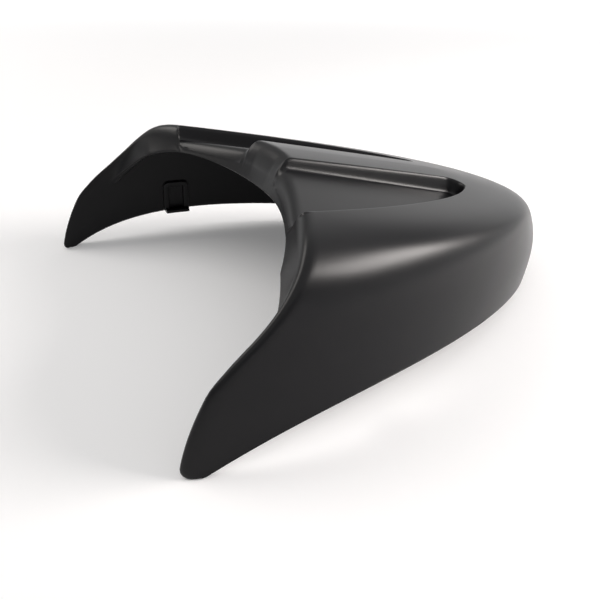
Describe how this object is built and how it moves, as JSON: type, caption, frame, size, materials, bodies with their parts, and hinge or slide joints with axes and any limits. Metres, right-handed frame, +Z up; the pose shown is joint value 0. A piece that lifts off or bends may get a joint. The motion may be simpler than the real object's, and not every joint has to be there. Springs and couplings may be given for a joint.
{
  "type": "motorcycle seat cowl",
  "caption": "Satin black moulded seat cowl with a sloping tail, a raised centre spine between tapering recesses, and an arched open front.",
  "frame": {"origin": "middle of the footprint on the floor, halfway between the arm tips and the tail", "axes": "+Z up, +Y towards the tail, +X to the rider's left"},
  "size_m": [0.2704, 0.2908, 0.092],
  "materials": {
    "plastic": "satin"
  },
  "bodies": {
    "root": {"cowl": "plastic"}
  },
  "joints": []
}
